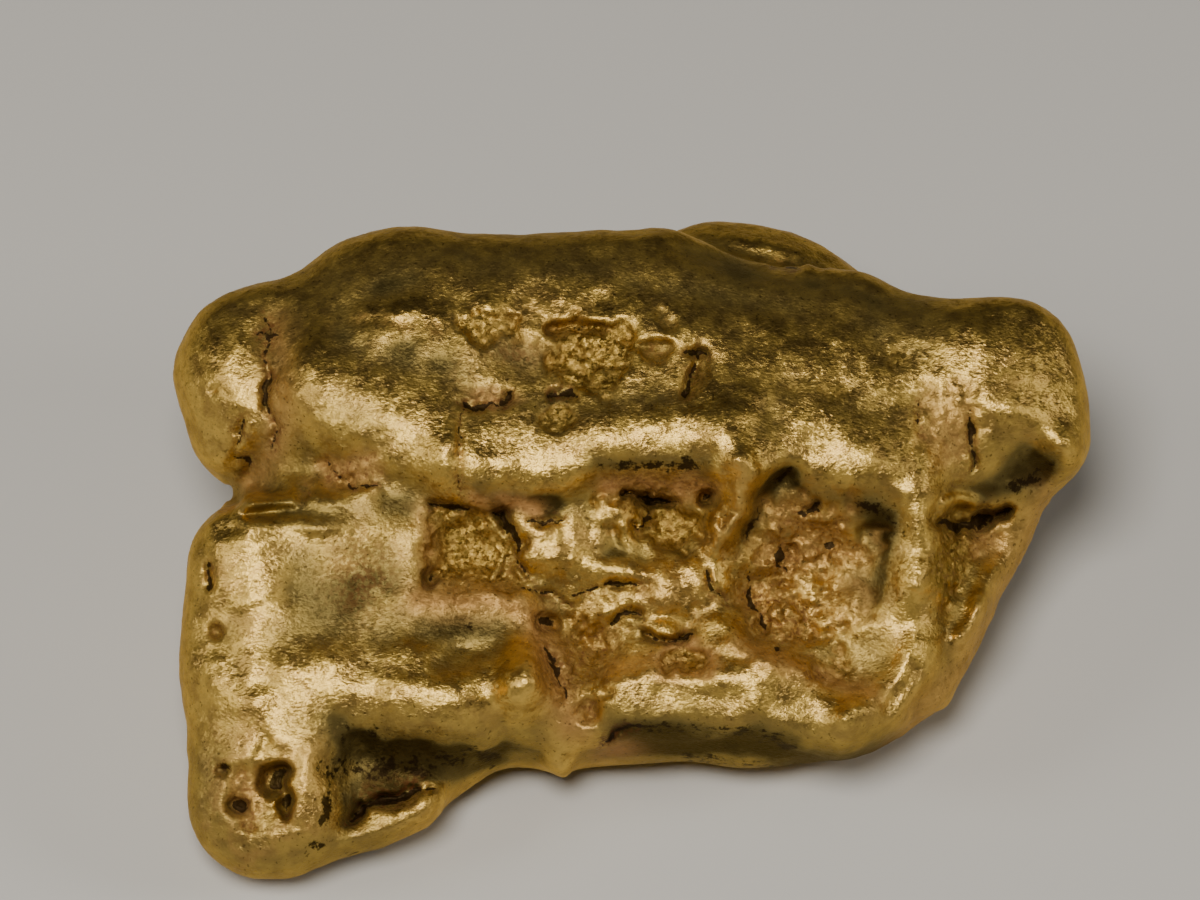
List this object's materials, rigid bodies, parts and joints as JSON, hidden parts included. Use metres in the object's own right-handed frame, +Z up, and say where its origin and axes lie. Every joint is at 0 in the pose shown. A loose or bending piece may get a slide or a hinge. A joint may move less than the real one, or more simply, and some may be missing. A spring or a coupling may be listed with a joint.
{
  "type": "gold nugget",
  "caption": "Waterworn native gold nugget: a lumpy slab with a broad worn face, rounded knobs at its ends, ridges, broken pits and crevices.",
  "frame": {"origin": "centre of the bounding box, on the surface the nugget rests on", "axes": "+X along the nugget's length, towards the squarer end knob; +Y from the low front lip towards the high back; +Z up"},
  "size_m": [0.0204, 0.0162, 0.0079],
  "materials": {
    "native_gold": "worn native gold, stream polished, with iron stain in the pits"
  },
  "bodies": {
    "root": {"nugget": "native_gold"}
  },
  "joints": []
}
